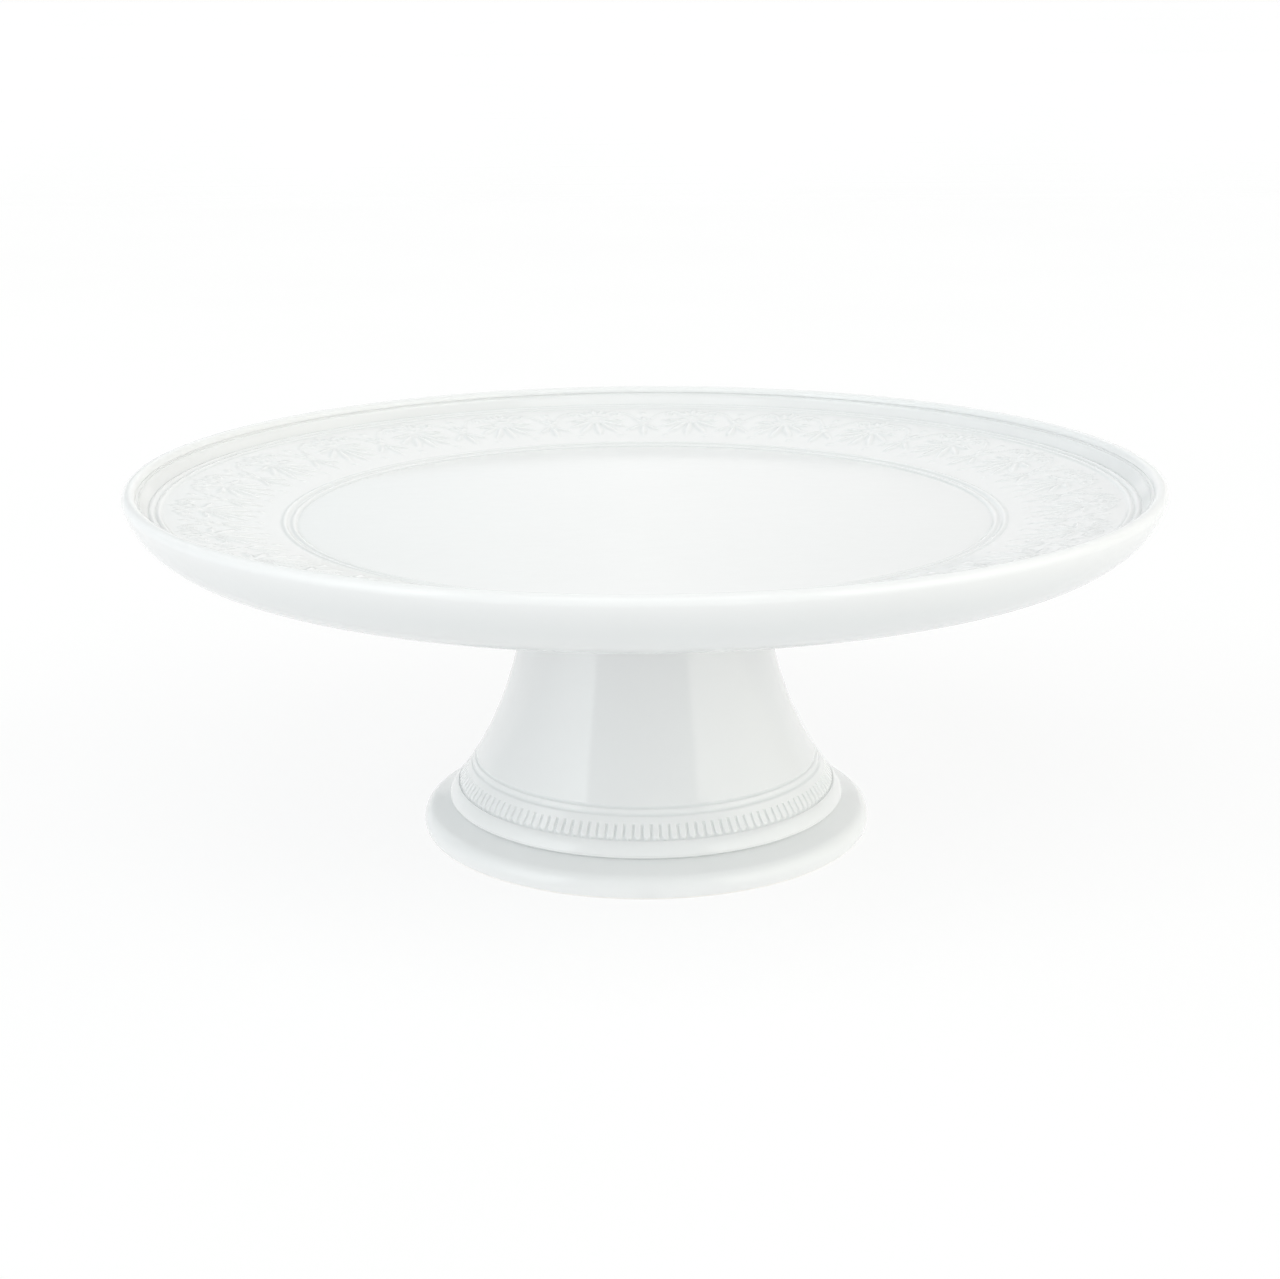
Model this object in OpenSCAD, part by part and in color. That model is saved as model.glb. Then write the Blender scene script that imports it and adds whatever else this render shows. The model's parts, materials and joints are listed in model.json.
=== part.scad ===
// Two-piece porcelain cake stand: a dished plate held on a hollow flared
// pedestal by one screw from below. Millimetres, +Z up, origin at the middle
// of the foot ring on the table.

/* [Plate] */
// Width across the rim
plate_d = 320; // [300:5:340]
// Height from the table to the crest of the rim
total_h = 116; // [112:1:130]
// Width of the flat middle, where the cake stands
well_d = 216; // [190:2:220]
// Height of the rim's crest above the flat middle
dish_depth = 14; // [13:0.5:16]
// Thickness of the flat middle
plate_t = 6; // [5:0.5:7]
// Slope of the wide ornamented band, in degrees
band_pitch = 10; // [7:0.5:11]

/* [Pedestal] */
// Width of the foot on the table
foot_d = 144; // [138:1:150]
// Width of the flare where its skirt ends
skirt_d = 129; // [124:1:130]
// Height of the skirt's lower edge above the table
skirt_z = 10; // [9:0.5:11]
// Width that the flare narrows towards under the plate
neck_d = 64; // [62:1:70]
// Height over which the flare loses most of its width
flare_len = 37.7; // [34:0.1:42]
// Thickness of the pedestal's wall
wall_t = 5.5; // [5:0.1:6]

/* [Joint] */
// Thickness of the silicone ring between the two porcelain pieces
gasket_t = 0.8; // [0.5:0.1:1.2]
// Thread diameter of the centre screw
screw_d = 8; // [6:1:8]
// Length of the centre screw under its head
screw_len = 25; // [25:1:26]
// Thickness of the soft washer under the web
soft_washer_t = 3; // [2:0.5:4]
// Thickness of the steel washer
steel_washer_t = 1.6; // [1.2:0.1:2]
// Thickness of the spring washer
lock_washer_t = 2.2; // [2:0.1:2.4]

/* [Hidden] */
$fn = 96;
eps = 0.01;

// Heights, from the rim down
plate_r = plate_d / 2;
well_r = well_d / 2;
well_z = total_h - dish_depth;
plate_under_z = well_z - plate_t;
pedestal_top_z = plate_under_z - gasket_t;

// Rim: a round lip, a fine groove inside it, and the sloped band
lip_r = 2.2;
lip_c = [plate_r - lip_r, total_h - lip_r];
groove_r = 0.7;
groove_c = [plate_r - 4.8, total_h - 2.1];
band_end_r = plate_r - 7.6;
outer_rings = [plate_r - 10.9, plate_r - 8.7];
inner_rings = [well_r + 1.1, well_r + 3.9];
ring_bead_r = 1.4;
ring_bead_sink = 1;

// Underside: flat, then one round wall that runs smoothly into the lip
wall_r = 23.8;
wall_z = plate_under_z + wall_r;
wall_end_a = asin((lip_c[1] - wall_z) / (wall_r - lip_r));
wall_c = [lip_c[0] - (wall_r - lip_r) * cos(wall_end_a), wall_z];

// Boss under the plate, with a blind socket for the insert
boss_h = 11;
boss_r = 15;
boss_draft = 1.5;
boss_z = plate_under_z - boss_h;
socket_r = 7.5;
socket_h = 10.5;

// Pedestal
foot_r = foot_d / 2;
neck_r = neck_d / 2;
flare_gain = skirt_d / 2 - neck_r;
foot_roll_r = 4.6;
foot_roll_c = [foot_r - foot_roll_r, 2.5];
foot_roll_end_a = -asin(foot_roll_c[1] / foot_roll_r);
roll_z = skirt_z + 4.6;
roll_r = 9;
skirt_edge = [skirt_d / 2 - 0.8, skirt_z];
undercut = [skirt_edge[0] - 1.2, skirt_z - 0.5];
line_zs = [skirt_z + 11, skirt_z + 12.9];
line_r = 0.35;
web_top_z = boss_z - 2;
web_t = 8;
web_z = web_top_z - web_t;
web_hole_r = screw_d / 2 + 1;
recess_r = 29;
corner_r = 3;
top_edge = 1;

// Joint stack, from the web down
gasket_ri = 30;
gasket_ro = 34;
insert_r = 6.5;
insert_h = 9.5;
insert_flange_r = 8.5;
insert_flange_t = 1;
insert_cap_t = 1;
screw_clear = 0.05;
soft_washer_r = 14;
steel_washer_r = 12;
lock_washer_r = 7.4;
lock_washer_split = 1;
washer_hole_r = screw_d / 2 + 0.2;
soft_washer_z = web_z - soft_washer_t;
steel_washer_z = soft_washer_z - steel_washer_t;
lock_washer_z = steel_washer_z - lock_washer_t;
head_r = 6.5;
head_h = screw_d;
socket_key_r = 6 / sqrt(3);
socket_key_h = 4;

porcelain = [0.95, 0.95, 0.94];
silicone = [0.90, 0.90, 0.88];
rubber = [0.10, 0.10, 0.10];
epoxy = [0.85, 0.80, 0.66];
brass = [0.80, 0.63, 0.28];
steel = [0.72, 0.72, 0.74];

// Points along an arc about c, from angle a0 to a1, in n steps
function arc(c, r, a0, a1, n) =
    [for (i = [0:n]) let (a = a0 + (a1 - a0) * i / n) c + r * [cos(a), sin(a)]];

// Points of an arc of radius r from a to b that bulges to the left of a-b
function bulge(a, b, r, n) =
    let (half = norm(b - a) / 2,
         dir = (b - a) / (2 * half),
         c = (a + b) / 2 - sqrt(r * r - half * half) * [-dir[1], dir[0]],
         a0 = atan2(a[1] - c[1], a[0] - c[0]),
         a1 = atan2(b[1] - c[1], b[0] - c[0]))
    arc(c, r, a0, a1, n);

// Outer and inner radius of the flared pedestal wall at height z
function flare_r(z) = neck_r + flare_gain * exp(-(z - skirt_z) / flare_len);
function flare_slope(z) = (flare_r(z) - neck_r) / flare_len;
function inside_r(z) = flare_r(z) - wall_t * sqrt(1 + pow(flare_slope(z), 2));

// Height of the sloped band's surface at radius r
function band_z(r) = well_z + (r - well_r) * tan(band_pitch);

// Ring of rectangular section between two radii
module ring(r_out, r_in, z, h) {
    translate([0, 0, z])
        difference() {
            cylinder(r = r_out, h = h);
            translate([0, 0, -1]) cylinder(r = r_in, h = h + 2);
        }
}

module plate_section() {
    outline = concat(
        [[0, boss_z], [boss_r, boss_z], [boss_r + boss_draft, plate_under_z]],
        arc(wall_c, wall_r, -90, wall_end_a, 12),
        [lip_c,
         groove_c - [0, groove_r],
         [band_end_r, band_z(band_end_r)],
         [well_r, well_z],
         [0, well_z]]);
    difference() {
        union() {
            polygon(outline);
            translate(lip_c) circle(r = lip_r);
            for (r = concat(outer_rings, inner_rings))
                translate([r, band_z(r) - ring_bead_sink]) circle(r = ring_bead_r);
        }
        translate(groove_c) circle(r = groove_r);
    }
}

module plate() {
    color(porcelain)
        difference() {
            rotate_extrude() plate_section();
            translate([0, 0, boss_z - 1]) cylinder(r = socket_r, h = socket_h + 1);
        }
}

module pedestal_section() {
    steps = 14;
    outer_top_z = pedestal_top_z - top_edge;
    outline = concat(
        [[recess_r, pedestal_top_z], [flare_r(outer_top_z) - top_edge, pedestal_top_z]],
        [for (i = [0:steps])
            let (z = outer_top_z + (roll_z - outer_top_z) * i / steps) [flare_r(z), z]],
        bulge([flare_r(roll_z), roll_z], skirt_edge, roll_r, 5),
        [undercut],
        arc(foot_roll_c, foot_roll_r, 80, foot_roll_end_a, 9),
        [for (i = [0:steps])
            let (z = (web_z - corner_r) * i / steps) [inside_r(z), z]],
        arc([inside_r(web_z) - corner_r, web_z - corner_r], corner_r, 45, 90, 2),
        [[web_hole_r, web_z], [web_hole_r, web_top_z]],
        arc([recess_r - corner_r, web_top_z + corner_r], corner_r, -90, 0, 4));
    difference() {
        polygon(outline);
        for (z = line_zs) translate([flare_r(z), z]) circle(r = line_r);
    }
}

module pedestal() {
    color(porcelain) rotate_extrude() pedestal_section();
}

module joint_gasket() {
    color(silicone) ring(gasket_ro, gasket_ri, pedestal_top_z, gasket_t);
}

module threaded_insert() {
    color(brass)
        difference() {
            union() {
                translate([0, 0, boss_z - eps]) cylinder(r = insert_r, h = insert_h + eps);
                translate([0, 0, boss_z - insert_flange_t])
                    cylinder(r = insert_flange_r, h = insert_flange_t);
            }
            translate([0, 0, boss_z - insert_flange_t - 1])
                cylinder(r = screw_d / 2 + screw_clear,
                         h = insert_h - insert_cap_t + insert_flange_t + 1);
        }
}

module insert_bond() {
    color(epoxy)
        difference() {
            translate([0, 0, boss_z]) cylinder(r = socket_r, h = socket_h);
            translate([0, 0, boss_z - 1]) cylinder(r = insert_r, h = insert_h + 1);
        }
}

module soft_washer() {
    color(rubber) ring(soft_washer_r, washer_hole_r, soft_washer_z, soft_washer_t);
}

module steel_washer() {
    color(steel) ring(steel_washer_r, washer_hole_r, steel_washer_z, steel_washer_t);
}

module lock_washer() {
    color(steel)
        difference() {
            ring(lock_washer_r, washer_hole_r, lock_washer_z, lock_washer_t);
            translate([0, -lock_washer_split / 2, lock_washer_z - 1])
                cube([lock_washer_r + 1, lock_washer_split, lock_washer_t + 2]);
        }
}

module centre_screw() {
    color(steel)
        difference() {
            union() {
                translate([0, 0, lock_washer_z - eps])
                    cylinder(r = screw_d / 2, h = screw_len + eps);
                translate([0, 0, lock_washer_z - head_h]) cylinder(r = head_r, h = head_h);
            }
            translate([0, 0, lock_washer_z - head_h - 1])
                cylinder(r = socket_key_r, h = socket_key_h + 1, $fn = 6);
        }
}

plate();
pedestal();
joint_gasket();
threaded_insert();
insert_bond();
soft_washer();
steel_washer();
lock_washer();
centre_screw();
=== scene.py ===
# A two-piece white porcelain cake stand: high-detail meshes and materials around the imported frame.
# The shapes are worked out in millimetres, and MM turns them into metres when a mesh is made.
# The studio and the camera are in metres.
import json
import math

import bmesh
import bpy
import numpy as np
from mathutils import Matrix, Vector


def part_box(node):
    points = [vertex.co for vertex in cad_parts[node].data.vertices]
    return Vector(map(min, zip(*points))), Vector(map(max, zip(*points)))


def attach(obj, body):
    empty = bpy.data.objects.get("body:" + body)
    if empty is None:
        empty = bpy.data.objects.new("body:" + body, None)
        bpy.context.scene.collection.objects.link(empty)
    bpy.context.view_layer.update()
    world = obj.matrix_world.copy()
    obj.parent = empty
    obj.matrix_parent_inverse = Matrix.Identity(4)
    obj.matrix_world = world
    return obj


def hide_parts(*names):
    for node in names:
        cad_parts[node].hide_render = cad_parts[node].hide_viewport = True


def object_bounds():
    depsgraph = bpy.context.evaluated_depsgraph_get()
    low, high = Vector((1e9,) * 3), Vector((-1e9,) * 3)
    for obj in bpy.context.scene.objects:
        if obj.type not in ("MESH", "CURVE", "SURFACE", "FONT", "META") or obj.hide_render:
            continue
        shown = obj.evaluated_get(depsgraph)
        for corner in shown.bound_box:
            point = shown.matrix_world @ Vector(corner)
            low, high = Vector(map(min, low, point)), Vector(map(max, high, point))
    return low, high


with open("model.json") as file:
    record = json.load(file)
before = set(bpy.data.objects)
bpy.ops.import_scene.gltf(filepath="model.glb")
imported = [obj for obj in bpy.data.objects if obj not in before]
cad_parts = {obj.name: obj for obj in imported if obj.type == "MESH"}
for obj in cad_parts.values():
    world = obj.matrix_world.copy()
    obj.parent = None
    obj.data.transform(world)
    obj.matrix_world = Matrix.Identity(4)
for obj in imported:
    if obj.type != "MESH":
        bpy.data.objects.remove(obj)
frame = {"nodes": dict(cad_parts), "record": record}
cad_low, cad_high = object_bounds()

MM = 0.001
SHARP_ANGLE = math.radians(32)

# ---------------------------------------------------------------- dimensions, from the frame

def box_mm(node):
    """The lowest and highest corners of a node, in millimetres."""
    low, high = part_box(node)
    return [c / MM for c in low], [c / MM for c in high]


def mount_z_mm(name):
    """The height of a flat mount of the record, in millimetres."""
    mount = next(m for m in frame["record"]["mounts"] if m["name"] == name)
    return mount["pos_m"][2] / MM


# Plate
PLATE_R, _, TOTAL_H = box_mm("plate")[1]
WELL_Z = mount_z_mm("cake_rest")
WELL_R = 0.675 * PLATE_R
PLATE_UNDER_Z = box_mm("joint_gasket")[1][2]
BAND_PITCH = math.radians(10)
LIP_R = 2.2
LIP_C = (PLATE_R - LIP_R, TOTAL_H - LIP_R)
GROOVE_R = 0.7
GROOVE_C = (PLATE_R - 4.8, TOTAL_H - 2.1)
SHOULDER_R = PLATE_R - 7.6
OUTER_RINGS = (PLATE_R - 10.9, PLATE_R - 8.7)
INNER_RINGS = (WELL_R + 1.1, WELL_R + 3.9)
RING_H = 0.42
RING_HALF_W = 1.0
RING_VALLEY_W = 0.8
WALL_R = 23.8
WALL_END = math.asin((LIP_C[1] - PLATE_UNDER_Z - WALL_R) / (WALL_R - LIP_R))
WALL_C = (LIP_C[0] - (WALL_R - LIP_R) * math.cos(WALL_END), PLATE_UNDER_Z + WALL_R)
BOSS_R = 15.0
BOSS_DRAFT = 1.5
BOSS_Z = box_mm("insert_bond")[0][2]
SOCKET_R, _, SOCKET_Z = box_mm("insert_bond")[1]

# Pedestal
FOOT_R, _, PEDESTAL_TOP_Z = box_mm("pedestal")[1]
NECK_R = 32.0
SKIRT_R = 64.5
SKIRT_Z = 10.0
FLARE_LEN = 37.7
WALL_T = 5.5
FOOT_ROLL_R = 4.6
FOOT_ROLL_C = (FOOT_R - FOOT_ROLL_R, 2.5)
SKIRT_EDGE = (SKIRT_R - 0.8, SKIRT_Z)
UNDERCUT = (SKIRT_EDGE[0] - 1.2, SKIRT_Z - 0.5)
RIM_BAND_Z = SKIRT_Z + 4.4
LINE_ZS = (SKIRT_Z + 11.0, SKIRT_Z + 12.9)
LINE_DEPTH = 0.27
LINE_HALF_W = 0.5
TONGUES = 136
TONGUE_LOW_Z = SKIRT_Z + 4.7
TONGUE_HIGH_Z = SKIRT_Z + 8.8
TONGUE_H = 0.5
TONGUE_HALF_SHARE = 0.435
TONGUE_SHOULDER_W = 0.36
WEB_Z = box_mm("soft_washer")[1][2]
WEB_TOP_Z = BOSS_Z - 2
WEB_HOLE_R = 5.0
RECESS_R = 29.0
CORNER_R = 3.0

# Ornament: the frieze on the plate's band, one drawing that is repeated round the plate
PERIODS = 24
CELL_STEPS = 60
FRIEZE_LOW_R = WELL_R + 6.5
FRIEZE_HIGH_R = PLATE_R - 12.6
FRIEZE_ROWS = 43
RELIEF_H = 0.42
PETAL_WIDEST = 0.62
DOME_POWER = 0.8

# Vertices round the plate. Neighbouring rows have equal counts, or one is a multiple of the other.
RIM_COUNT = 480
COARSE_COUNT = 240
BOSS_COUNT = 120
WELL_ROWS = ((4, 24), (18, 48), (50, COARSE_COUNT), (80, COARSE_COUNT), (96, COARSE_COUNT), (104, RIM_COUNT))

# Vertices round the pedestal, by the same rule
PLAIN_COUNT = 340
INSIDE_COUNT = 170
TONGUE_STEPS = 10


# ---------------------------------------------------------------- mesh helpers

class Row:
    """One ring of vertices: radius, height and how many.

    mat is the material slot of the faces that lead up to it, pool its share of gathered
    glaze and painted shade, and relief the height that each vertex is raised along normal (r, z).
    """

    def __init__(self, r, z, count, mat=0, pool=0.0, relief=None, normal=None):
        self.r, self.z, self.count = r, z, count
        self.mat = mat
        self.pool = pool
        self.relief = relief
        self.normal = normal


def arc(c, radius, a0, a1, n):
    """Points (r, z) along an arc about c, from angle a0 to a1 in degrees, in n steps."""
    angles = np.radians(np.linspace(a0, a1, n + 1))
    return [(c[0] + radius * math.cos(a), c[1] + radius * math.sin(a)) for a in angles]


def line(p, q, n):
    """n points from p towards q, leaving q out."""
    return [(p[0] + (q[0] - p[0]) * i / n, p[1] + (q[1] - p[1]) * i / n) for i in range(n)]


def rounded(p, corner, q, radius, n=4):
    """Points of a fillet of about this radius at a corner between p and q."""
    p, corner, q = (np.array(v, float) for v in (p, corner, q))
    to_p = (p - corner) / np.linalg.norm(p - corner)
    to_q = (q - corner) / np.linalg.norm(q - corner)
    a, b = corner + radius * to_p, corner + radius * to_q
    points = []
    for i in range(n + 1):
        t = i / n
        points.append(tuple((1 - t) ** 2 * a + 2 * t * (1 - t) * corner + t * t * b))
    return points


def ring_points(row):
    """The vertices of a row, and each one's share of gathered glaze and painted shade."""
    angles = 2 * np.pi * np.arange(row.count) / row.count
    r = np.full(row.count, float(row.r))
    z = np.full(row.count, float(row.z))
    if row.relief is not None:
        r = r + row.normal[0] * row.relief
        z = z + row.normal[1] * row.relief
    pool = np.broadcast_to(np.asarray(row.pool, float), (row.count,))
    return np.stack([r * np.cos(angles), r * np.sin(angles), z], 1), pool


def strip(first_a, count_a, first_b, count_b):
    """Faces between two rings whose counts are equal or differ by a whole factor."""
    faces = []
    if count_a == count_b:
        for i in range(count_a):
            j = (i + 1) % count_a
            faces.append((first_a + i, first_a + j, first_b + j, first_b + i))
        return faces
    if count_a > count_b:
        return [tuple(reversed(f)) for f in strip(first_b, count_b, first_a, count_a)]
    k = count_b // count_a
    for i in range(count_a):
        j = (i + 1) % count_a
        fine = [first_b + (i * k + s) % count_b for s in range(k + 1)]
        faces.append((first_a + i, first_a + j, *reversed(fine)))
    return faces


def revolve(name, rows, closed=False):
    """A body of revolution from rows in order. A row of one vertex is a pole; closed joins the ends."""
    verts, glaze_and_shade_rows, faces, mats, starts = [], [], [], [], []
    total = 0
    for row in rows:
        points, pool = ring_points(row)
        starts.append(total)
        total += len(points)
        verts.append(points)
        glaze_and_shade_rows.append(pool)
    pairs = [(i, i + 1) for i in range(len(rows) - 1)]
    if closed:
        pairs.append((len(rows) - 1, 0))
    for i, j in pairs:
        a, b = rows[i], rows[j]
        if a.count == 1:
            new = [(starts[i], starts[j] + (s + 1) % b.count, starts[j] + s) for s in range(b.count)]
        elif b.count == 1:
            new = [(starts[i] + s, starts[i] + (s + 1) % a.count, starts[j]) for s in range(a.count)]
        else:
            new = strip(starts[i], a.count, starts[j], b.count)
        faces += new
        mats += [b.mat] * len(new)
    mesh = bpy.data.meshes.new(name)
    mesh.from_pydata((np.concatenate(verts) * MM).tolist(), [], faces)
    mesh.polygons.foreach_set("material_index", mats)
    # Each vertex's share of gathered glaze and painted shade, which darkens the glaze colour.
    attribute = mesh.attributes.new("pool", "FLOAT", "POINT")
    attribute.data.foreach_set("value", np.concatenate(glaze_and_shade_rows).astype(np.float32))
    return finish_mesh(name, mesh)


def finish_mesh(name, mesh):
    """Makes the object of a mesh, with outward faces, smooth shading and sharp corners."""
    mesh.validate()
    work = bmesh.new()
    work.from_mesh(mesh)
    bmesh.ops.recalc_face_normals(work, faces=work.faces)
    work.to_mesh(mesh)
    work.free()
    mesh.polygons.foreach_set("use_smooth", [True] * len(mesh.polygons))
    mesh.set_sharp_from_angle(angle=SHARP_ANGLE)
    return link(bpy.data.objects.new(name, mesh))


def link(item):
    """Puts an object in the scene."""
    bpy.context.scene.collection.objects.link(item)
    return item


# ---------------------------------------------------------------- the frieze

def dome(share):
    """Height 0 to 1 of a rounded ridge, at this share of its half width from its middle."""
    return np.cos(np.clip(share, 0, 1) * np.pi / 2) ** DOME_POWER


def petal(x, y, root, angle, length, width, bend=0.0):
    """Height 0 to 1 of a teardrop petal from its root. Angle 0 points along +y, positive turns to +x."""
    a = math.radians(angle)
    dx, dy = x - root[0], y - root[1]
    along = dx * math.sin(a) + dy * math.cos(a)
    across = dx * math.cos(a) - dy * math.sin(a) - bend * (along / length) ** 2 * length
    s = np.clip(along / length, 0, 1)
    half = width / 2 * np.sin(np.pi * s ** (math.log(0.5) / math.log(PETAL_WIDEST))) + 1e-6
    inside = (along > 0) & (along < length) & (np.abs(across) < half)
    return np.where(inside, dome(np.abs(across) / half) * np.clip(half / (0.32 * width), 0, 1), 0)


def dot(x, y, centre, radius):
    """Height 0 to 1 of a small round bead."""
    d = np.hypot(x - centre[0], y - centre[1]) / radius
    return np.where(d < 1, dome(d), 0)


def stroke(x, y, points, width, taper=0.0):
    """Height 0 to 1 of a rounded line through points; taper narrows it towards the end."""
    best = np.zeros_like(x)
    n = len(points) - 1
    for i in range(n):
        p, q = np.array(points[i]), np.array(points[i + 1])
        d = q - p
        t = np.clip(((x - p[0]) * d[0] + (y - p[1]) * d[1]) / (d @ d), 0, 1)
        gap = np.hypot(x - p[0] - t * d[0], y - p[1] - t * d[1])
        half = width / 2 * (1 - taper * (i + t) / n)
        best = np.maximum(best, np.where(gap < half, dome(gap / half), 0))
    return best


def spiral(centre, radius, start, turns, side, n=22):
    """Points of a volute that winds in from a radius; side 1 or -1 gives its hand."""
    points = []
    for i in range(n + 1):
        t = i / n
        a = math.radians(start) + side * 2 * math.pi * turns * t
        r = radius * (1 - 0.8 * t)
        points.append((centre[0] + r * math.cos(a), centre[1] + r * math.sin(a)))
    return points


# Each petal of a palmette, to either side of its middle: turn in degrees, length, width and bend
FAN = ((0, 18, 2.9, 0), (19, 17, 2.7, 0.10), (39, 14.5, 2.5, 0.18), (62, 11, 2.3, 0.26))
CROWN = ((0, 7.0, 2.1, 0), (34, 6.4, 2.1, 0), (66, 5.2, 2.1, 0))


def palmette(x, y, heart):
    """A fan of seven long petals towards the middle of the plate, with a small crown behind its heart."""
    h = dot(x, y, (heart[0], heart[1] + 1.0), 1.9)
    crown_root = (heart[0], heart[1] + 2.4)
    for side in (1, -1):
        for turn, length, width, bend in FAN:
            h = np.maximum(h, petal(x, y, heart, 180 - side * turn, length, width, -side * bend))
        for turn, length, width, bend in CROWN:
            h = np.maximum(h, 0.85 * petal(x, y, crown_root, side * turn, length, width, bend))
    return h


def bud(x, y, heart):
    """A slender three-petalled bud that fills the gap between two palmettes."""
    h = petal(x, y, heart, 180, 13.5, 2.6)
    for side in (1, -1):
        h = np.maximum(h, petal(x, y, heart, 180 - side * 24, 10.5, 2.0, -side * 0.24))
        h = np.maximum(h, 0.85 * petal(x, y, heart, side * 38, 5.4, 1.9))
    h = np.maximum(h, 0.85 * petal(x, y, heart, 0, 6.2, 2.0))
    return np.maximum(h, dot(x, y, heart, 1.7))


def frieze_cell(radii, angles):
    """Height 0 to 1 of the ornament in one period, on a grid of radii by angles about the period's middle."""
    r, a = np.meshgrid(radii, angles, indexing="ij")
    x = r * a
    half_w = r * math.pi / PERIODS
    mid = (FRIEZE_LOW_R + FRIEZE_HIGH_R) / 2
    heart_r = mid + 6.5
    h = palmette(x, r, (0, heart_r))
    for side in (1, -1):
        edge_x = x - side * half_w
        h = np.maximum(h, bud(edge_x, r, (0, mid + 1.5)))
        scroll = spiral((side * 7.6, heart_r + 4.2), 3.1, 200 if side > 0 else -20, 1.15, -side)
        h = np.maximum(h, 0.8 * stroke(x, r, scroll, 1.25, 0.3))
        vine = [(side * 4.6, heart_r + 4.0), (side * 3.0, heart_r + 1.6), (side * 1.4, heart_r + 0.6)]
        h = np.maximum(h, 0.8 * stroke(x, r, vine, 1.2))
        arch = [(side * (9.6 + 5.4 * t), heart_r + 5.6 - 6.5 * t * t) for t in np.linspace(0, 1, 8)]
        h = np.maximum(h, 0.75 * stroke(x, r, arch, 1.1, 0.3))
        h = np.maximum(h, 0.8 * dot(edge_x, r, (0, mid + 11.2), 1.3))
        h = np.maximum(h, 0.7 * dot(x, r, (side * 7.4, mid - 11.6), 1.1))
    return h


def blur_periodic(h, steps):
    """A soft copy of a relief that repeats along its second axis."""
    for _ in range(steps):
        h = (h + np.roll(h, 1, 1) + np.roll(h, -1, 1)) / 3
        padded = np.pad(h, ((1, 1), (0, 0)), mode="edge")
        h = (padded[:-2] + padded[1:-1] + padded[2:]) / 3
    return h


# ---------------------------------------------------------------- porcelain meshes

# The porcelain's second material slot. The first is the glaze.
BISCUIT = 1


def band_z(r):
    """Height of the sloped band at radius r, or of the flat middle inside it."""
    return WELL_Z + max(r - WELL_R, 0) * math.tan(BAND_PITCH)


def ring_bead(r, centres):
    """Height of the fine raised rings at radius r, and how far r lies in the valley beside them."""
    height = 0.0
    for c in centres:
        d = abs(r - c) / RING_HALF_W
        if d < 1:
            height = max(height, RING_H * math.cos(d * math.pi / 2) ** 0.9)
    near = min(abs(r - c) for c in centres)
    valley = max(0.0, 1 - abs(near - RING_HALF_W) / RING_VALLEY_W)
    return height, valley


def ringed_rows(r0, r1, n, centres):
    """n steps of rows across the band's edge, with a pair of fine rings, and gathered glaze and painted shade
    in the valleys beside them.
    """
    rows = []
    for r in np.linspace(r0, r1, n + 1):
        height, valley = ring_bead(r, centres)
        rows.append(Row(r, band_z(r) + height, RIM_COUNT, pool=0.6 * valley))
    return rows


def frieze_rows():
    """The band's ornamented rows, with gathered glaze and painted shade in the hollows of the relief."""
    count = PERIODS * CELL_STEPS
    radii = np.linspace(FRIEZE_LOW_R, FRIEZE_HIGH_R, FRIEZE_ROWS)
    angles = (np.arange(CELL_STEPS) - CELL_STEPS // 2) * 2 * math.pi / count
    fade = np.clip(np.minimum(radii - FRIEZE_LOW_R, FRIEZE_HIGH_R - radii) / 1.5, 0, 1)[:, None]
    cell = frieze_cell(radii, angles) * fade
    # Gathered glaze and painted shade in the relief's hollows, from how far each point lies below its blurred
    # surroundings.
    hollow = np.clip(2.2 * (blur_periodic(cell, 3) - cell), 0, 1)
    up = (-math.sin(BAND_PITCH), math.cos(BAND_PITCH))
    return [Row(r, band_z(r), count, pool=np.tile(row_glaze_and_shade, PERIODS),
                relief=np.tile(height, PERIODS) * RELIEF_H, normal=up)
            for r, height, row_glaze_and_shade in zip(radii, cell, hollow)]


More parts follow.
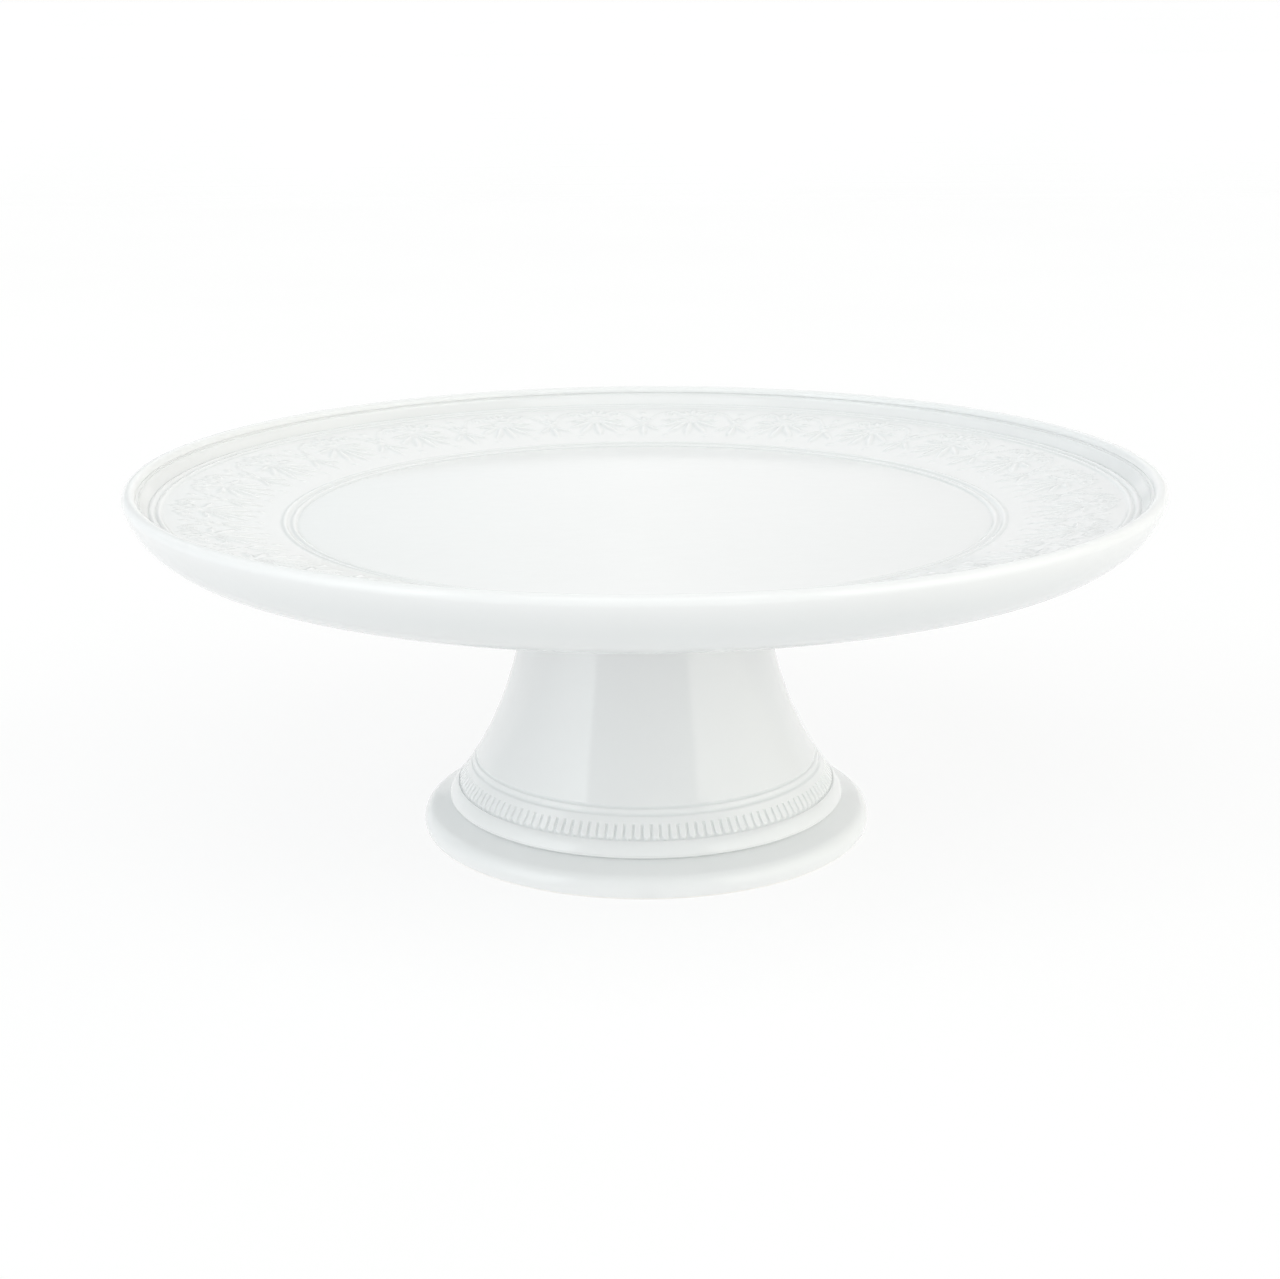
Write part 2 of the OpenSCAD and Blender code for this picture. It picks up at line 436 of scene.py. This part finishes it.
def make_plate():
    wall_end = math.degrees(WALL_END)
    under_edge = (BOSS_R + BOSS_DRAFT, PLATE_UNDER_Z)
    boss_edge = (BOSS_R, BOSS_Z)
    shoulder = (SHOULDER_R, band_z(SHOULDER_R))
    groove_low = (GROOVE_C[0], GROOVE_C[1] - GROOVE_R)

    # Upper face, from the middle out to the lip
    rows = [Row(0, WELL_Z, 1)]
    rows += [Row(r, WELL_Z, count) for r, count in (*WELL_ROWS, (WELL_R - 1.2, RIM_COUNT))]
    rows += ringed_rows(WELL_R - 0.4, FRIEZE_LOW_R - 0.6, 16, INNER_RINGS)
    rows += frieze_rows()
    rows += ringed_rows(FRIEZE_HIGH_R + 0.7, SHOULDER_R, 14, OUTER_RINGS)
    rows += [Row(*p, RIM_COUNT) for p in line(shoulder, groove_low, 6)[1:]]
    rows += [Row(*p, RIM_COUNT) for p in arc(GROOVE_C, GROOVE_R, -110, -20, 5)]
    rows += [Row(*p, RIM_COUNT) for p in arc(LIP_C, LIP_R, 172, wall_end, 12)]

    # Underside, from the lip in to the socket, with painted shade that darkens further down
    wall = arc(WALL_C, WALL_R, wall_end, -90, 13)[1:]
    rows += [Row(*p, RIM_COUNT, pool=min(0.7, 0.2 * (i + 1))) for i, p in enumerate(wall)]
    rows += [Row(r, PLATE_UNDER_Z, COARSE_COUNT, pool=0.7) for r in (120, 90, 60, 36)]
    rows += [Row(*p, BOSS_COUNT, pool=0.6) for p in rounded((36, PLATE_UNDER_Z), under_edge, boss_edge, 2.0)]
    rows += [Row(*p, BOSS_COUNT) for p in rounded(under_edge, boss_edge, (SOCKET_R, BOSS_Z), 1.0)]
    rows += [Row(r, BOSS_Z, BOSS_COUNT, BISCUIT) for r in (SOCKET_R + 3.5, SOCKET_R)]
    rows += [Row(SOCKET_R, SOCKET_Z, BOSS_COUNT, BISCUIT), Row(0, SOCKET_Z, 1, BISCUIT)]
    return revolve("plate_porcelain", rows)


def flare_r(z):
    """Outer radius of the pedestal's flare at height z."""
    return NECK_R + (SKIRT_R - NECK_R) * math.exp(-(z - SKIRT_Z) / FLARE_LEN)


def flare_slope(z):
    return (flare_r(z) - NECK_R) / FLARE_LEN


def flare_normal(z):
    """Outward normal (r, z) of the flare."""
    slope = flare_slope(z)
    return np.array([1, slope]) / math.hypot(1, slope)


def inside_r(z):
    """Radius of the hollow inside the pedestal at height z."""
    return flare_r(z) - WALL_T * math.hypot(1, flare_slope(z))


def line_groove(z):
    """Depth of the two fine lines at height z, and the gathered glaze and painted shade in them."""
    near = min(abs(z - c) for c in LINE_ZS)
    return LINE_DEPTH * max(0.0, 1 - (near / LINE_HALF_W) ** 2), 0.6 * max(0.0, 1 - near / 0.7)


def tongue_relief(z, count):
    """Height of the row of tongues round the skirt at height z, and the gathered glaze and painted shade in
    the slots.
    """
    steps = count // TONGUES
    u = np.abs((np.arange(count) % steps) / steps - 0.5) * 2
    pitch = 2 * math.pi * flare_r(z) / TONGUES
    half = TONGUE_HALF_SHARE * pitch
    across = (1 - u) * pitch / 2
    tip_z = TONGUE_LOW_Z + half
    reach = np.hypot(across, max(tip_z - z, 0))
    body = np.clip((half - reach) / TONGUE_SHOULDER_W, 0, 1)
    slot_end = np.clip((z - TONGUE_HIGH_Z + 0.5) / 0.5, 0, 1)
    body = np.maximum(body, slot_end)
    smooth = body * body * (3 - 2 * body)
    return TONGUE_H * smooth, np.clip(1 - 1.4 * smooth, 0, 1)


def bulge(a, b, radius, n):
    """Points of an arc of this radius from a to b that bulges away from the axis."""
    a, b = np.array(a, float), np.array(b, float)
    half = np.linalg.norm(b - a) / 2
    along = (b - a) / (2 * half)
    c = (a + b) / 2 - math.sqrt(radius ** 2 - half ** 2) * np.array([-along[1], along[0]])
    a0, a1 = (math.degrees(math.atan2(*(p - c)[::-1])) for p in (a, b))
    return arc(c, radius, a0, a1, n)


def make_pedestal():
    top = PEDESTAL_TOP_Z
    edge = (flare_r(top - 1), top)
    rim_top = (flare_r(RIM_BAND_Z), RIM_BAND_Z)
    roll_end = -math.degrees(math.asin(FOOT_ROLL_C[1] / FOOT_ROLL_R))
    roll = arc(FOOT_ROLL_C, FOOT_ROLL_R, 80, roll_end, 12)
    foot, foot_inside = roll[-1], (inside_r(0), 0)
    web_corner = (inside_r(WEB_Z) - CORNER_R, WEB_Z - CORNER_R)
    hole_low, hole_high = (WEB_HOLE_R, WEB_Z), (WEB_HOLE_R, WEB_TOP_Z)
    recess_corner = (RECESS_R - CORNER_R, WEB_TOP_Z + CORNER_R)

    # Top edge, and the plain flare down to the two lines
    rows = [Row(RECESS_R + 0.4, top, INSIDE_COUNT, BISCUIT), Row(edge[0] - 1.1, top, PLAIN_COUNT, BISCUIT)]
    rows += [Row(*p, PLAIN_COUNT) for p in rounded((RECESS_R, top), edge, (flare_r(top - 6), top - 6), 1.0)]
    rows += [Row(flare_r(z), z, PLAIN_COUNT) for z in np.linspace(top - 2.5, LINE_ZS[1] + 1.6, 34)]
    for z in np.arange(LINE_ZS[1] + 0.9, LINE_ZS[0] - 0.95, -0.2):
        depth, pool = line_groove(z)
        n = flare_normal(z)
        rows.append(Row(flare_r(z) - n[0] * depth, z - n[1] * depth, PLAIN_COUNT, pool=pool))

    # The row of tongues, sunk so that its high parts are flush with the flare
    rows.append(Row(flare_r(TONGUE_HIGH_Z + 0.8), TONGUE_HIGH_Z + 0.8, PLAIN_COUNT))
    count = TONGUES * TONGUE_STEPS
    for z in np.linspace(TONGUE_HIGH_Z + 0.5, TONGUE_LOW_Z - 0.25, 19):
        relief, pool = tongue_relief(z, count)
        rows.append(Row(flare_r(z), z, count, pool=0.4 * pool,
                        relief=relief - TONGUE_H, normal=flare_normal(z)))

    # The skirt's round edge, the undercut below it and the foot's roll
    rows += [Row(*p, PLAIN_COUNT) for p in bulge(rim_top, SKIRT_EDGE, 9, 8)[:-1]]
    rows += [Row(*p, PLAIN_COUNT) for p in rounded(rim_top, SKIRT_EDGE, UNDERCUT, 0.6)]
    # Gathered glaze and painted shade in the undercut below the skirt's edge.
    rows += [Row(*p, PLAIN_COUNT, pool=0.3) for p in rounded(SKIRT_EDGE, UNDERCUT, roll[0], 0.5)]
    rows += [Row(*p, PLAIN_COUNT) for p in roll[:-1]]

    # The ring that stands on the table, and the hollow up to the web
    rows += [Row(*p, PLAIN_COUNT, BISCUIT) for p in rounded(roll[-2], foot, foot_inside, 0.5)]
    rows += [Row(*p, INSIDE_COUNT, BISCUIT) for p in rounded(foot, foot_inside, (inside_r(4), 4), 0.7)]
    rows += [Row(inside_r(z), z, INSIDE_COUNT) for z in np.linspace(1.6, WEB_Z - CORNER_R, 26)]
    rows += [Row(*p, INSIDE_COUNT) for p in arc(web_corner, CORNER_R, 40, 90, 5)]

    # The web with its hole, and the recess above it
    rows += [Row(r, WEB_Z, INSIDE_COUNT) for r in (20, 10)]
    rows += [Row(*p, INSIDE_COUNT) for p in rounded((10, WEB_Z), hole_low, hole_high, 0.5)]
    rows += [Row(*p, INSIDE_COUNT) for p in rounded(hole_low, hole_high, (10, WEB_TOP_Z), 0.5)]
    rows.append(Row(16, WEB_TOP_Z, INSIDE_COUNT))
    rows += [Row(*p, INSIDE_COUNT) for p in arc(recess_corner, CORNER_R, -90, 0, 5)]
    rows.append(Row(RECESS_R, top - 0.4, INSIDE_COUNT, BISCUIT))
    return revolve("pedestal_porcelain", rows, closed=True)


# ---------------------------------------------------------------- the joint's small parts

THREAD_PITCH = 1.25
THREAD_STEP = THREAD_PITCH / 6
THREAD_DEPTH = 0.62
THREAD_COUNT = 48
TURNED_COUNT = 96
WASHER_COUNT = 128
SHANK_R = 4.0
INSERT_R = 6.5
INSERT_BORE_R = 4.05
OUTWARD = (1.0, 0.0)


def thread(z):
    """Depth 0 to 1 of a metric thread's groove round a shank at height z."""
    turn = (z / THREAD_PITCH + np.arange(THREAD_COUNT) / THREAD_COUNT) % 1
    return np.clip(np.abs(turn - 0.5) * 2.5 - 0.12, 0, 1)


def thread_rows(radius, low_z, high_z, depth):
    """Rows of a threaded wall; depth(z) is how far each vertex is cut in."""
    return [Row(radius, z, THREAD_COUNT, relief=-depth(z), normal=OUTWARD)
            for z in np.arange(low_z, high_z, THREAD_STEP)]


def turned_rows(*corners):
    """Plain rows round a turned part, at these corners (r, z)."""
    return [Row(r, z, TURNED_COUNT) for r, z in corners]


def hexagon_rows(apothem, *heights):
    """Rows of a hexagonal wall."""
    turn = (np.arange(TURNED_COUNT) / TURNED_COUNT * 360 + 30) % 60 - 30
    relief = apothem / np.cos(np.radians(turn)) - apothem
    return [Row(apothem, z, TURNED_COUNT, relief=relief, normal=OUTWARD) for z in heights]


def knurled_rows(radius, depth, *heights):
    """Rows of a cylinder with straight knurling, two vertices to a ridge."""
    relief = -depth * (np.arange(TURNED_COUNT) % 2)
    return [Row(radius, z, TURNED_COUNT, relief=relief, normal=OUTWARD) for z in heights]


def make_screw():
    """A socket head cap screw: hexagon socket, knurled head, plain neck and thread."""
    (_, _, head_low), (head_r, _, tip) = box_mm("centre_screw")
    head_top = box_mm("lock_washer")[0][2]
    apothem, socket_top = 3.0, head_low + 4
    thread_low = head_top + 2.0
    rows = [Row(0, socket_top + 0.9, 1)]
    rows += turned_rows((1.2, socket_top + 0.3), (apothem - 0.15, socket_top))
    rows += hexagon_rows(apothem, socket_top - 0.02, head_low + 0.35)
    rows += turned_rows((apothem + 0.55, head_low), (head_r - 0.9, head_low))
    rows += turned_rows((head_r - 0.35, head_low + 0.22), (head_r - 0.06, head_low + 0.6))
    rows += turned_rows((head_r - 0.06, head_low + 0.9))
    rows += knurled_rows(head_r, 0.16, head_low + 1.2, head_top - 1.6)
    rows += turned_rows((head_r - 0.08, head_top - 1.3), (head_r - 0.08, head_top - 0.2))
    rows += turned_rows((head_r - 0.3, head_top), (SHANK_R + 0.4, head_top))
    rows += turned_rows((SHANK_R, head_top + 0.4), (SHANK_R, head_top + 1.9))
    rows += thread_rows(SHANK_R, thread_low, tip - 0.8,
                        lambda z: THREAD_DEPTH * min(1.0, z - thread_low) * thread(z))
    rows += [Row(SHANK_R - 0.7, tip, THREAD_COUNT), Row(0, tip, 1)]
    return revolve("screw_m8", rows)


def make_insert():
    """A blind brass insert: two knurled bands with a groove between them, a flange and a threaded bore."""
    (_, _, low), (flange_r, _, high) = box_mm("threaded_insert")
    flange_top, bore_end = low + 1, high - 1
    rows = [Row(0, high, 1)]
    rows += turned_rows((INSERT_R - 0.6, high), (INSERT_R - 0.15, high - 0.4))
    rows += knurled_rows(INSERT_R, 0.3, high - 0.9, flange_top + 5.4)
    rows += turned_rows((INSERT_R - 0.8, flange_top + 4.9), (INSERT_R - 0.8, flange_top + 4.1))
    rows += knurled_rows(INSERT_R, 0.3, flange_top + 3.6, flange_top + 0.6)
    rows += turned_rows((INSERT_R - 0.15, flange_top), (flange_r - 0.25, flange_top))
    rows += turned_rows((flange_r, flange_top - 0.25), (flange_r, low + 0.25), (flange_r - 0.25, low))
    rows.append(Row(INSERT_BORE_R + 0.5, low, THREAD_COUNT))
    rows += thread_rows(INSERT_BORE_R, low + 0.5, high - 1.6, lambda z: 0.4 * (1 - thread(z)))
    rows += [Row(INSERT_BORE_R, z, THREAD_COUNT) for z in (bore_end - 0.2, bore_end)]
    rows.append(Row(0, bore_end, 1))
    return revolve("brass_insert", rows)


def make_washer(name, node, edge, swell=0.0):
    """A flat ring with rounded edges that fills a node's box; swell is how far its outer wall bulges."""
    (_, _, low), (outer_r, _, high) = box_mm(node)
    inner_r = hole_radius(node)
    face_r, middle = inner_r + 2, (low + high) / 2
    outline = rounded((face_r, high), (inner_r, high), (inner_r, middle), edge)
    outline += rounded((inner_r, middle), (inner_r, low), (face_r, low), edge)
    outline += rounded((face_r, low), (outer_r - swell, low), (outer_r, middle), edge)
    outline.append((outer_r, middle))
    outline += rounded((outer_r, middle), (outer_r - swell, high), (face_r, high), edge)
    return revolve(name, [Row(*p, WASHER_COUNT) for p in outline], closed=True)


def hole_radius(node):
    """The radius of a node's central hole, in millimetres."""
    points = frame["nodes"][node].data.vertices
    return min(math.hypot(v.co.x, v.co.y) for v in points) / MM


def make_lock_washer():
    """A split ring of rounded section that climbs from one side of its gap to the other."""
    (_, _, low), (_, outer_r, high) = box_mm("lock_washer")
    inner_r = hole_radius("lock_washer")
    thick, gap, steps = 1.75, 4.5, 96
    rise = high - low - thick
    lower = [(inner_r, 0.2), (inner_r + 0.2, 0), (outer_r - 0.25, 0.08), (outer_r, 0.3)]
    section = lower + [(r, thick - z) for r, z in reversed(lower)]
    k = len(section)
    verts, faces = [], []
    for i, a in enumerate(np.radians(np.linspace(gap, 360 - gap, steps + 1))):
        lift = low + rise * i / steps
        verts += [(r * math.cos(a) * MM, r * math.sin(a) * MM, (z + lift) * MM) for r, z in section]
    for first in range(0, steps * k, k):
        ends = [(first + j, first + (j + 1) % k) for j in range(k)]
        faces += [(a, b, b + k, a + k) for a, b in ends]
    faces += [tuple(range(k)), tuple(steps * k + j for j in reversed(range(k)))]
    mesh = bpy.data.meshes.new("spring_washer")
    mesh.from_pydata(verts, [], faces)
    return finish_mesh("spring_washer", mesh)


# ---------------------------------------------------------------- materials

class Shader:
    """A material's node tree, with short calls for the nodes used here."""

    def __init__(self, name):
        self.material = bpy.data.materials.new(name)
        self.material.use_nodes = True
        self.nodes = self.material.node_tree.nodes
        self.links = self.material.node_tree.links
        self.bsdf = self.nodes["Principled BSDF"]
        self.coords = self.nodes.new("ShaderNodeTexCoord").outputs["Object"]

    def set(self, **values):
        """Sets uniform values; Specular_IOR_Level stands for the input Specular IOR Level."""
        for key, value in values.items():
            self.bsdf.inputs[key.replace("_", " ")].default_value = value

    def noise(self, scale, detail, roughness=0.5, stretch=None):
        """Fine irregular variation, 0 to 1; stretch scales it along X, Y and Z."""
        vector = self.coords
        if stretch:
            mapping = self.nodes.new("ShaderNodeMapping")
            mapping.inputs["Scale"].default_value = stretch
            self.links.new(self.coords, mapping.inputs["Vector"])
            vector = mapping.outputs["Vector"]
        node = self.nodes.new("ShaderNodeTexNoise")
        node.inputs["Scale"].default_value = scale
        node.inputs["Detail"].default_value = detail
        node.inputs["Roughness"].default_value = roughness
        self.links.new(vector, node.inputs["Vector"])
        return node.outputs["Fac"]

    def spots(self, scale, size):
        """1 inside sparse small round spots, 0 elsewhere."""
        node = self.nodes.new("ShaderNodeTexVoronoi")
        node.inputs["Scale"].default_value = scale
        self.links.new(self.coords, node.inputs["Vector"])
        return self.span(node.outputs["Distance"], size, size * 0.6, 0, 1)

    def attribute(self, name):
        """A value that the mesh carries on its vertices."""
        node = self.nodes.new("ShaderNodeAttribute")
        node.attribute_name = name
        return node.outputs["Fac"]

    def span(self, value, low, high, to_low, to_high):
        """Maps a value from one range to another, held at its ends."""
        node = self.nodes.new("ShaderNodeMapRange")
        for key, number in (("From Min", low), ("From Max", high), ("To Min", to_low), ("To Max", to_high)):
            node.inputs[key].default_value = number
        self.links.new(value, node.inputs["Value"])
        return node.outputs["Result"]

    def times(self, value, number):
        node = self.nodes.new("ShaderNodeMath")
        node.operation = "MULTIPLY"
        self.links.new(value, node.inputs[0])
        node.inputs[1].default_value = number
        return node.outputs["Value"]

    def mix(self, factor, a, b):
        """A blend of two colours, each a tuple or a socket."""
        node = self.nodes.new("ShaderNodeMix")
        node.data_type = "RGBA"
        self.links.new(factor, node.inputs["Factor"])
        for socket, value in ((node.inputs["A"], a), (node.inputs["B"], b)):
            if isinstance(value, tuple):
                socket.default_value = (*value, 1)
            else:
                self.links.new(value, socket)
        return node.outputs["Result"]

    def colour(self, value):
        self.links.new(value, self.bsdf.inputs["Base Color"])

    def roughness(self, value):
        self.links.new(value, self.bsdf.inputs["Roughness"])

    def bump(self, height, distance):
        """Roughens the surface by this depth in metres."""
        node = self.nodes.new("ShaderNodeBump")
        node.inputs["Distance"].default_value = distance
        node.inputs["Strength"].default_value = 1.0
        self.links.new(height, node.inputs["Height"])
        self.links.new(node.outputs["Normal"], self.bsdf.inputs["Normal"])


def glaze():
    """Clear glossy glaze on white porcelain: cooler where glaze gathers, and darker with painted shade in
    hollows and on the underside, with a faint orange-peel surface.
    """
    s = Shader("white_glaze")
    tone = s.mix(s.noise(14, 4), (0.768, 0.775, 0.776), (0.786, 0.791, 0.792))
    # Gathered glaze and painted shade: a cooler, darker colour where the mesh's pool value is high.
    s.colour(s.mix(s.times(s.attribute("pool"), 0.55), tone, (0.670, 0.705, 0.706)))
    s.roughness(s.span(s.noise(38, 3), 0.35, 0.7, 0.07, 0.13))
    s.bump(s.noise(170, 2), 0.00003)
    s.set(IOR=1.5, Specular_IOR_Level=0.5)
    s.set(Subsurface_Weight=0.6, Subsurface_Radius=(1, 1, 1), Subsurface_Scale=0.003)
    return s.material


def biscuit():
    """Unglazed fired porcelain, where the piece stood in the kiln or meets the next one."""
    s = Shader("unglazed_biscuit")
    tone = s.mix(s.noise(90, 5, 0.7), (0.80, 0.785, 0.75), (0.88, 0.87, 0.845))
    s.colour(s.mix(s.span(s.noise(22, 4), 0.55, 0.75, 0, 0.35), tone, (0.70, 0.67, 0.62)))
    s.roughness(s.span(s.noise(300, 3), 0.3, 0.7, 0.75, 0.95))
    s.bump(s.noise(900, 4, 0.7), 0.00012)
    return s.material


def steel():
    """Turned stainless steel: fine layers across its axis, as a lathe leaves them."""
    s = Shader("turned_steel")
    s.colour(s.mix(s.noise(260, 4), (0.56, 0.56, 0.57), (0.70, 0.70, 0.71)))
    s.roughness(s.span(s.noise(420, 5, 0.7), 0.3, 0.7, 0.22, 0.42))
    s.bump(s.noise(900, 2, stretch=(1, 1, 9)), 0.00003)
    s.set(Metallic=1.0)
    return s.material


def brass():
    """Dull brass."""
    s = Shader("knurled_brass")
    s.colour(s.mix(s.noise(300, 4), (0.66, 0.45, 0.16), (0.83, 0.64, 0.30)))
    s.roughness(s.span(s.noise(500, 4), 0.3, 0.7, 0.25, 0.45))
    s.bump(s.noise(1200, 2), 0.00002)
    s.set(Metallic=1.0)
    return s.material


def rubber():
    """Black rubber with a dusting of talc."""
    s = Shader("black_rubber")
    talc = s.span(s.noise(160, 5, 0.7), 0.5, 0.75, 0, 0.7)
    s.colour(s.mix(talc, (0.022, 0.022, 0.024), (0.085, 0.083, 0.08)))
    s.roughness(s.span(s.noise(400, 4), 0.3, 0.7, 0.6, 0.85))
    s.bump(s.noise(1400, 3), 0.00006)
    return s.material


def silicone():
    """Milky silicone that lets some light through."""
    s = Shader("clear_silicone")
    s.colour(s.mix(s.noise(120, 3), (0.76, 0.77, 0.76), (0.84, 0.85, 0.84)))
    s.roughness(s.span(s.noise(500, 3), 0.3, 0.7, 0.35, 0.55))
    s.bump(s.noise(1500, 2), 0.00004)
    s.set(Subsurface_Weight=0.4, Subsurface_Scale=0.002)
    return s.material


def epoxy():
    """Cured amber epoxy with trapped bubbles."""
    s = Shader("cured_epoxy")
    tone = s.mix(s.noise(180, 4), (0.62, 0.50, 0.30), (0.74, 0.64, 0.44))
    s.colour(s.mix(s.spots(900, 0.3), tone, (0.82, 0.76, 0.62)))
    s.roughness(s.span(s.noise(300, 3), 0.3, 0.7, 0.25, 0.5))
    s.bump(s.noise(700, 4), 0.0001)
    return s.material


# ---------------------------------------------------------------- the pieces

def place(piece, node, slot, *materials):
    """Gives a piece its materials and the body it rides on, and hides the frame node it stands for; slot is
    not used.
    """
    for material in materials:
        piece.data.materials.append(material)
    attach(piece, "root")
    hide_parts(node)


GLAZED, UNGLAZED, STEEL, RUBBER = glaze(), biscuit(), steel(), rubber()
place(make_plate(), "plate", "porcelain", GLAZED, UNGLAZED)
place(make_pedestal(), "pedestal", "porcelain", GLAZED, UNGLAZED)
place(make_screw(), "centre_screw", "steel", STEEL)
place(make_lock_washer(), "lock_washer", "steel", STEEL)
place(make_washer("flat_washer", "steel_washer", 0.25), "steel_washer", "steel", STEEL)
place(make_washer("rubber_washer", "soft_washer", 0.5, swell=0.35), "soft_washer", "rubber", RUBBER)
place(make_washer("silicone_ring", "joint_gasket", 0.2, swell=0.1), "joint_gasket", "silicone", silicone())
place(make_insert(), "threaded_insert", "brass", brass())

# The epoxy bed keeps its CAD shape.
bond = frame["nodes"]["insert_bond"]
bond.data.materials.clear()
bond.data.materials.append(epoxy())


# ---------------------------------------------------------------- the studio

WHITE, COOL, WARM = (1, 1, 1), (0.955, 0.995, 1), (1, 1, 0.94)
# The room by bearing in degrees: brightness and tint from the back, round by the left, the camera at 0
# and the right, to the back again. The steps at -45 and 40 are the edges of two lit walls.
PANORAMA = ((-180, 1.15, WHITE), (-171, 1.0, COOL), (-164, 0.7, COOL), (-152, 0.7, COOL),
            (-140, 1.0, COOL), (-130, 1.0, COOL), (-120, 0.7, COOL), (-95, 1.0, COOL),
            (-70, 1.9, COOL), (-45, 2.6, COOL), (-43, 0.85, COOL), (37, 0.85, COOL),
            (40, 2.3, WARM), (85, 1.8, WARM), (106, 1.3, WARM), (120, 0.85, WARM),
            (134, 1.06, WHITE), (145, 0.85, WHITE), (165, 0.85, WHITE), (180, 1.15, WHITE))
BRIGHTEST = max(level for _, level, _ in PANORAMA)
CEILING = 0.6
CEILING_FROM = 50
CEILING_EDGE = 4

# The sheet's reflectance, and the light that it gives by itself
SHEET = 0.22
GLOW = 0.745

# The lights aim at a point above the stand's foot.
AIM = (0, 0, 0.1)
PANEL_SIZE = 1.4


def make_floor():
    """A wide pale sheet under the stand, turned up well behind it."""
    half, back, up, bend = 60.0, 2.8, 0.5, 0.25
    angles = np.linspace(0, math.pi / 2, 9)
    turn = [(back - bend + bend * math.sin(a), bend - bend * math.cos(a)) for a in angles]
    profile = [(-half, 0.0), *turn, (back, up)]
    verts = [(x, y, z) for y, z in profile for x in (-half, half)]
    faces = [(2 * i, 2 * i + 1, 2 * i + 3, 2 * i + 2) for i in range(len(profile) - 1)]
    mesh = bpy.data.meshes.new("floor")
    mesh.from_pydata(verts, [], faces)
    floor = link(bpy.data.objects.new("floor", mesh))
    s = Shader("studio_sheet")
    s.colour(s.mix(s.noise(3, 2), (SHEET,) * 3, (SHEET + 0.02,) * 3))
    s.set(Roughness=0.9, Specular_IOR_Level=0.1, Emission_Color=(1, 1, 1, 1), Emission_Strength=GLOW)
    mesh.materials.append(s.material)


def area_light(name, place_at, watts):
    """A soft panel that faces the stand and isn't itself in the picture."""
    data = bpy.data.lights.new(name, "AREA")
    data.shape = "RECTANGLE"
    data.size = PANEL_SIZE
    data.size_y = PANEL_SIZE
    data.energy = watts
    light = bpy.data.objects.new(name, data)
    light.location = place_at
    light.rotation_euler = (Vector(AIM) - Vector(place_at)).to_track_quat("-Z", "Y").to_euler()
    light.visible_camera = False
    link(light)


def make_room():
    """The world: PANORAMA by bearing, under an even ceiling."""
    world = bpy.data.worlds.new("studio")
    bpy.context.scene.world = world
    world.use_nodes = True
    nodes, links = world.node_tree.nodes, world.node_tree.links
    split = nodes.new("ShaderNodeSeparateXYZ")
    links.new(nodes.new("ShaderNodeTexCoord").outputs["Generated"], split.inputs["Vector"])
    flip = nodes.new("ShaderNodeMath")
    flip.operation = "MULTIPLY"
    flip.inputs[1].default_value = -1
    links.new(split.outputs["Y"], flip.inputs[0])
    bearing = nodes.new("ShaderNodeMath")
    bearing.operation = "ARCTAN2"
    links.new(split.outputs["X"], bearing.inputs[0])
    links.new(flip.outputs["Value"], bearing.inputs[1])
    turn = nodes.new("ShaderNodeMapRange")
    turn.inputs["From Min"].default_value = -math.pi
    turn.inputs["From Max"].default_value = math.pi
    links.new(bearing.outputs["Value"], turn.inputs["Value"])
    ramp = nodes.new("ShaderNodeValToRGB")
    links.new(turn.outputs["Result"], ramp.inputs["Fac"])
    steps = ramp.color_ramp.elements
    while len(steps) < len(PANORAMA):
        steps.new(0.5)
    for step, (degrees, level, tint) in zip(steps, PANORAMA):
        step.position = 0.5 + degrees / 360
        step.color = (*(level / BRIGHTEST * part for part in tint), 1)
    ceiling = nodes.new("ShaderNodeMapRange")
    ceiling.inputs["From Min"].default_value = math.sin(math.radians(CEILING_FROM - CEILING_EDGE))
    ceiling.inputs["From Max"].default_value = math.sin(math.radians(CEILING_FROM + CEILING_EDGE))
    links.new(split.outputs["Z"], ceiling.inputs["Value"])
    mix = nodes.new("ShaderNodeMix")
    mix.data_type = "RGBA"
    links.new(ceiling.outputs["Result"], mix.inputs["Factor"])
    links.new(ramp.outputs["Color"], mix.inputs["A"])
    mix.inputs["B"].default_value = (*(CEILING / BRIGHTEST,) * 3, 1)
    links.new(mix.outputs["Result"], nodes["Background"].inputs["Color"])
    nodes["Background"].inputs["Strength"].default_value = BRIGHTEST


def make_camera():
    """The photograph's viewpoint: above the rim, looking about 16 degrees down."""
    data = bpy.data.cameras.new("camera")
    data.sensor_width = 36
    data.lens = 61.1
    camera = bpy.data.objects.new("camera", data)
    radius = cad_high[0]
    position = Matrix.Translation((-0.0017, -4.181 * radius, 1.5605 * radius))
    pitch, roll = math.radians(15.84), math.radians(0.33)
    camera.matrix_world = (position @ Matrix.Rotation(math.pi / 2 - pitch, 4, "X")
                           @ Matrix.Rotation(-roll, 4, "Z"))
    link(camera)
    bpy.context.scene.camera = camera


make_floor()
make_room()
area_light("top_left", (-1.2, 0.1, 1.6), 1.5)
area_light("top_front", (0, -0.9, 1.9), 6)
make_camera()
bpy.context.scene.view_settings.view_transform = "Standard"
